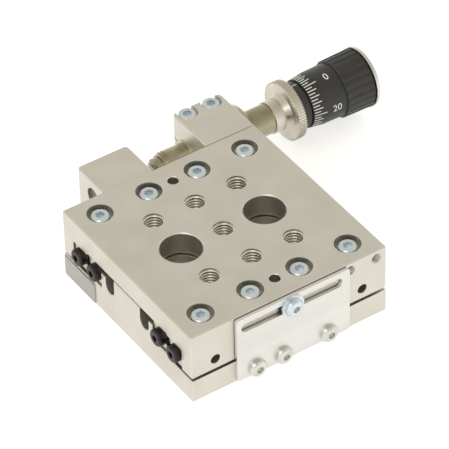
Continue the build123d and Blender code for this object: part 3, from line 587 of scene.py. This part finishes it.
# Index collar. A black anodised sleeve with its hub inside the knurled ring. One white line at the
# top is filled with ink, and the dial is read against it.
black_anodised = steel_finish("black_anodised", (0.030, 0.030, 0.032), (0.044, 0.043, 0.045),
                              (0.36, 0.46), 2400, bump=0.15, metal=0.2, clouds=200,
                              worn=(0.11, 0.11, 0.11), worn_width=0.15)
wear("index_collar", black_anodised)
white_ink = steel_finish("white_ink", (0.90, 0.90, 0.89), (0.97, 0.97, 0.96),
                         (0.5, 0.6), 2000, bump=0.1, metal=0.0)
collar_low, collar_high = (Vector(corner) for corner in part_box("index_collar"))
ink_height = 0.04 * mm
index_turn = radians(84)
index_inset = 0.1 * mm
index_length = 2.3 * mm
index_line = grown("index_line", rim_ridges, white_ink,
                   **{"Count": 1, "Step": 0.1, "First turn": index_turn,
                      "Start": collar_high.x - index_inset - index_length,
                      "Radius": (collar_high.z - collar_low.z) / 2, "Slope": 0.0,
                      "Length": index_length, "Width": 0.35 * mm, "Height": 2 * ink_height,
                      "Sides": 4})
index_line.data.transform(Matrix.Translation((0, screw_y, screw_z)))
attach(index_line, "index")

# Thimble. Black anodised drum with a cone at its open edge. The cone carries fifty white strokes,
# short and medium by turns with a long one at every tenth, and the drum their numerals, 0 to 80.
wear("thimble", black_anodised)
thimble_low, thimble_high = (Vector(corner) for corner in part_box("thimble"))
edge_radius = 7.6 * mm
cone_radius = 8.25 * mm
cone_length = 4.6 * mm
drum_radius = (thimble_high.z - thimble_low.z) / 2
drum_length = thimble_high.x - thimble_low.x
cone_slope = atan2(cone_radius - edge_radius, cone_length)
dial_zero = radians(105.4)
dial_step = 2 * pi / 50
stroke_gap = 0.25 * mm
stroke_width = 0.38 * mm
strokes = (("long", (0,), 4.15), ("medium", (2, 4, 6, 8), 3.0), ("short", (1, 3, 5, 7, 9), 2.1))
dial_parts = []
for kind, legs, length in strokes:
    for leg in legs:
        dial_parts.append(grown("dial_%s_%d" % (kind, leg), rim_ridges, white_ink,
                                **{"Count": 5, "Step": 10 * dial_step,
                                   "First turn": dial_zero + leg * dial_step,
                                   "Start": thimble_low.x + stroke_gap,
                                   "Radius": edge_radius + stroke_gap * sin(cone_slope),
                                   "Slope": cone_slope, "Length": length * mm,
                                   "Width": stroke_width, "Height": 2 * ink_height, "Sides": 4}))
letter_size = 3.22 * mm
numeral_place = 7.9 * mm
numeral_x = thimble_low.x + numeral_place
for k, figure in enumerate(("0", "20", "40", "60", "80")):
    letters = bpy.data.curves.new("numeral_" + figure, "FONT")
    letters.body = figure
    letters.align_x = "CENTER"
    letters.align_y = "CENTER"
    letters.size = letter_size
    letters.extrude = ink_height
    letters.resolution_u = 4
    holder = bpy.data.objects.new("numeral_holder", letters)
    bpy.context.scene.collection.objects.link(holder)
    mesh = bpy.data.meshes.new_from_object(holder.evaluated_get(bpy.context.evaluated_depsgraph_get()))
    bpy.data.objects.remove(holder)
    mesh.materials.clear()
    mesh.materials.append(white_ink)
    turn = dial_zero + 10 * k * dial_step
    for vertex in mesh.vertices:
        along, around, out = vertex.co
        x = numeral_x + along
        past_cone = x - thimble_low.x - cone_length
        radius = cone_radius + past_cone * (drum_radius - cone_radius) / (drum_length - cone_length) + out
        angle = turn - around / radius
        vertex.co = (x, radius * cos(angle), radius * sin(angle))
    dial_parts.append(bpy.data.objects.new("numeral_" + figure, mesh))
    bpy.context.scene.collection.objects.link(dial_parts[-1])
bpy.ops.object.select_all(action="DESELECT")
for piece in dial_parts:
    piece.select_set(True)
bpy.context.view_layer.objects.active = dial_parts[0]
bpy.ops.object.join()
dial = bpy.context.view_layer.objects.active
dial.name = "thimble_dial"
dial.data.name = "thimble_dial"
dial.data.transform(Matrix.Translation((0, screw_y, screw_z)))
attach(dial, "thimble")

# Knob and end cap. The knob is black anodised aluminium with shallow milled flutes, fixed to the
# thimble and the spindle. The cap is turned bright and pressed into the knob's hollow end.
black_grip = steel_finish("black_grip", (0.026, 0.026, 0.028), (0.040, 0.039, 0.041),
                          (0.34, 0.46), 2000, bump=0.2, metal=0.1, clouds=200,
                          worn=(0.10, 0.10, 0.10), worn_width=0.2)
wear("knob", black_grip)
turned_cap = turned_finish("turned_cap", (0.66, 0.65, 0.61), (0.76, 0.75, 0.71),
                           (0.18, 0.30), screw_y, screw_z, marks=600, bump=0.3,
                           worn=(0.84, 0.83, 0.80))
wear("end_cap", turned_cap)

# Studio. A plain pale floor just below the base, clear from below so that the underside can be
# looked at, soft light from all round, and the camera at the photograph's place.
floor_mesh = bpy.data.meshes.new("floor")
floor_reach = 3.0
floor_z = -0.05 * mm
floor_corners = [(x * floor_reach, y * floor_reach, floor_z)
                 for x, y in ((-1, -1), (1, -1), (1, 1), (-1, 1))]
floor_mesh.from_pydata(floor_corners, [], [(0, 1, 2, 3)])
floor = bpy.data.objects.new("floor", floor_mesh)
bpy.context.scene.collection.objects.link(floor)
pale = bpy.data.materials.new("pale_floor")
pale.use_nodes = True
tree = pale.node_tree
shade = tree.nodes["Principled BSDF"]
shade.inputs["Base Color"].default_value = (0.86, 0.86, 0.86, 1)
shade.inputs["Roughness"].default_value = 0.9
glow = knot(tree, "ShaderNodeEmission")
glow.inputs["Color"].default_value = (1, 1, 1, 1)
path = knot(tree, "ShaderNodeLightPath")
seen = math_node(tree, "MAXIMUM", path.outputs["Is Camera Ray"], path.outputs["Is Glossy Ray"])
seen_glow = 0.45
camera_glow = 0.10
lift = math_node(tree, "MULTIPLY", path.outputs["Is Camera Ray"], camera_glow)
tree.links.new(math_node(tree, "ADD", math_node(tree, "MULTIPLY", seen, seen_glow), lift),
               glow.inputs["Strength"])
both = knot(tree, "ShaderNodeAddShader")
tree.links.new(shade.outputs["BSDF"], both.inputs[0])
tree.links.new(glow.outputs["Emission"], both.inputs[1])
from_above = knot(tree, "ShaderNodeMixShader")
tree.links.new(knot(tree, "ShaderNodeNewGeometry").outputs["Backfacing"], from_above.inputs["Fac"])
tree.links.new(both.outputs[0], from_above.inputs[1])
tree.links.new(knot(tree, "ShaderNodeBsdfTransparent").outputs[0], from_above.inputs[2])
tree.links.new(from_above.outputs[0], tree.nodes["Material Output"].inputs["Surface"])
floor_mesh.materials.append(pale)

world = bpy.data.worlds.new("studio")
bpy.context.scene.world = world
world.use_nodes = True
tree = world.node_tree
sky = tree.nodes["Background"]
way = knot(tree, "ShaderNodeTexCoord")
apart = knot(tree, "ShaderNodeSeparateXYZ")
tree.links.new(way.outputs["Generated"], apart.inputs[0])
dome = knot(tree, "ShaderNodeValToRGB")
dome.color_ramp.elements[0].position = 0.0
dome.color_ramp.elements[0].color = (1.0, 1.0, 1.0, 1)
dome.color_ramp.elements[1].position = 0.9
dome.color_ramp.elements[1].color = (0.61, 0.575, 0.47, 1)
tree.links.new(apart.outputs[2], dome.inputs["Fac"])
tree.links.new(dome.outputs["Color"], sky.inputs["Color"])
sky_strength = 1.06
sky.inputs["Strength"].default_value = sky_strength


def soft_box(name, spot, aim, size, power):
    """A square lamp that looks at a point of the stage."""
    lamp = bpy.data.lights.new(name, "AREA")
    lamp.shape = "SQUARE"
    lamp.size = size
    lamp.energy = power
    holder = bpy.data.objects.new(name, lamp)
    bpy.context.scene.collection.objects.link(holder)
    holder.location = spot
    holder.rotation_euler = (Vector(aim) - Vector(spot)).to_track_quat("-Z", "Y").to_euler()


soft_box("lamp_left", spot=(-0.55, -0.35, 0.6), aim=(0, 0, 0.01), size=0.5, power=1.0)

azimuth, elevation, roll = radians(-33.118), radians(41.163), radians(-1.499)
distance = 1.0198
aim = Vector((3.19, 4.12, 20.37)) * mm
out = Vector((cos(elevation) * sin(azimuth), -cos(elevation) * cos(azimuth), sin(elevation)))
right = Vector((cos(azimuth), sin(azimuth), 0))
up = out.cross(right)
tilted_right = right * cos(roll) + up * sin(roll)
tilted_up = up * cos(roll) - right * sin(roll)
photo_width = 449
focal_pixels = 3651.7
lens = bpy.data.cameras.new("photo_camera")
lens.sensor_width = 36
lens.lens = focal_pixels / photo_width * lens.sensor_width
lens.clip_start = 0.01
lens.clip_end = 20
camera = bpy.data.objects.new("photo_camera", lens)
bpy.context.scene.collection.objects.link(camera)
turn_to = Matrix((tilted_right, tilted_up, out)).transposed().to_4x4()
camera.matrix_world = Matrix.Translation(aim + out * distance) @ turn_to
bpy.context.scene.camera = camera
bpy.context.scene.view_settings.view_transform = "Standard"
